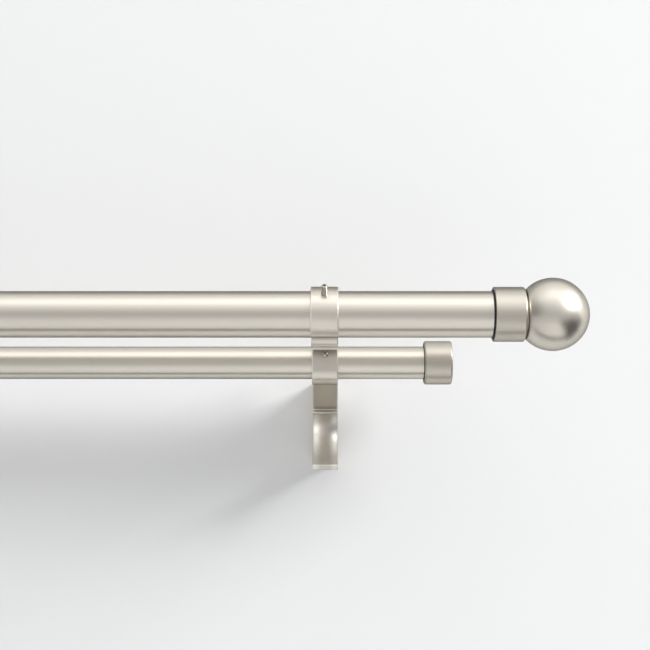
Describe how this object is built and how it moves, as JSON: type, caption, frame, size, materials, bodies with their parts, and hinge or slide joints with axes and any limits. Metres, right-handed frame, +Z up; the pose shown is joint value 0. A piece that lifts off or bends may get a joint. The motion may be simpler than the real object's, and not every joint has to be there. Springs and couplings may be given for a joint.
{
  "type": "double curtain pole",
  "caption": "Telescoping double curtain pole with ball finials on the front pole, end caps on the rear pole and two cast wall brackets.",
  "frame": {"origin": "centre of the right bracket's wall plate, on the wall", "axes": "+X along the poles to the right, +Y into the wall, +Z up"},
  "size_m": [0.7954, 0.117, 0.111],
  "materials": {
    "satin_nickel_tube": "satin nickel, brushed along the tube",
    "satin_nickel_turned": "satin nickel, brushed round",
    "satin_nickel_casting": "satin nickel on a die casting",
    "zinc_plated_steel": "zinc plated",
    "screw_steel": "nickel plated",
    "dark_plastic": "matt",
    "white_nylon": "satin"
  },
  "bodies": {
    "wall_side": {"front_outer_tube": "satin_nickel_tube", "rear_outer_tube": "satin_nickel_tube", "front_glide_bush": "white_nylon", "rear_glide_bush": "white_nylon", "finial_collar_right": "satin_nickel_turned", "finial_liner_right": "dark_plastic", "finial_stud_right": "screw_steel", "finial_ball_right": "satin_nickel_turned", "finial_grub_screw_right": "screw_steel", "rear_end_cap_right": "satin_nickel_turned", "rear_cap_liner_right": "dark_plastic", "wall_plate_right": "zinc_plated_steel", "wall_plate_left": "zinc_plated_steel", "bracket_right": "satin_nickel_casting", "bracket_left": "satin_nickel_casting", "front_clamp_screws": "screw_steel", "rear_clamp_screws": "screw_steel", "plate_lock_screws": "screw_steel"},
    "front_inner": {"front_inner_tube": "satin_nickel_tube", "finial_collar_left": "satin_nickel_turned", "finial_liner_left": "dark_plastic", "finial_stud_left": "screw_steel", "finial_ball_left": "satin_nickel_turned", "finial_grub_screw_left": "screw_steel"},
    "rear_inner": {"rear_inner_tube": "satin_nickel_tube", "rear_end_cap_left": "satin_nickel_turned", "rear_cap_liner_left": "dark_plastic"}
  },
  "joints": [
    {"name": "front_pole_extend", "type": "slide", "parent": "wall_side", "child": "front_inner", "axis": [-1, 0, 0], "range_m": [0, 0.508]},
    {"name": "rear_pole_extend", "type": "slide", "parent": "wall_side", "child": "rear_inner", "axis": [-1, 0, 0], "range_m": [0, 0.508]}
  ]
}
